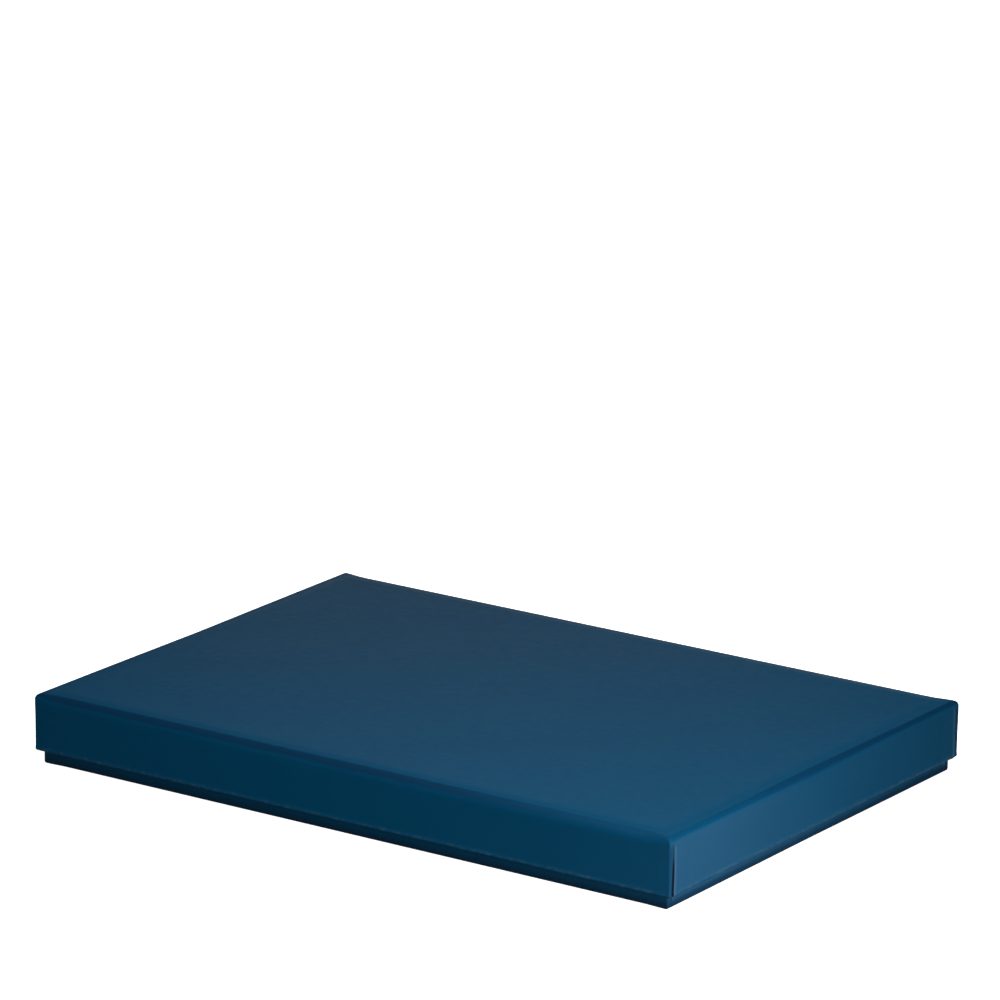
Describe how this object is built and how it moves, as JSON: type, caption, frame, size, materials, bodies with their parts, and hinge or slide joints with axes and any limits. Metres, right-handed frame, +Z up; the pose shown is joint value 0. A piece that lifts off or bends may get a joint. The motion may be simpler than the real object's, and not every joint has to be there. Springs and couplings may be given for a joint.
{
  "type": "archival box",
  "caption": "Flat rectangular archival document box with a lift-off telescoping lid, folded from greyboard and covered in dark blue paper.",
  "frame": {"origin": "middle of the underside of the closed box", "axes": "+X along the length, +Y along the width away from the front long side, +Z up; the lid lifts along +Z"},
  "size_m": [0.322, 0.226, 0.0315],
  "materials": {
    "cover_paper": "satin",
    "lining_paper": "matte",
    "greyboard": "matte",
    "stay_tape": "matte"
  },
  "bodies": {
    "tray": {"tray_board": "greyboard", "tray_lining": "lining_paper", "tray_wrap": "cover_paper", "tray_stay_front_left": "stay_tape", "tray_stay_front_right": "stay_tape", "tray_stay_back_left": "stay_tape", "tray_stay_back_right": "stay_tape"},
    "lid": {"lid_board": "greyboard", "lid_lining": "lining_paper", "lid_wrap": "cover_paper", "lid_stay_front_left": "stay_tape", "lid_stay_front_right": "stay_tape", "lid_stay_back_left": "stay_tape", "lid_stay_back_right": "stay_tape"}
  },
  "joints": [
    {"name": "lid_lift", "type": "slide", "parent": "tray", "child": "lid", "axis": [0, 0, 1], "range_m": [0, 0.1]}
  ]
}
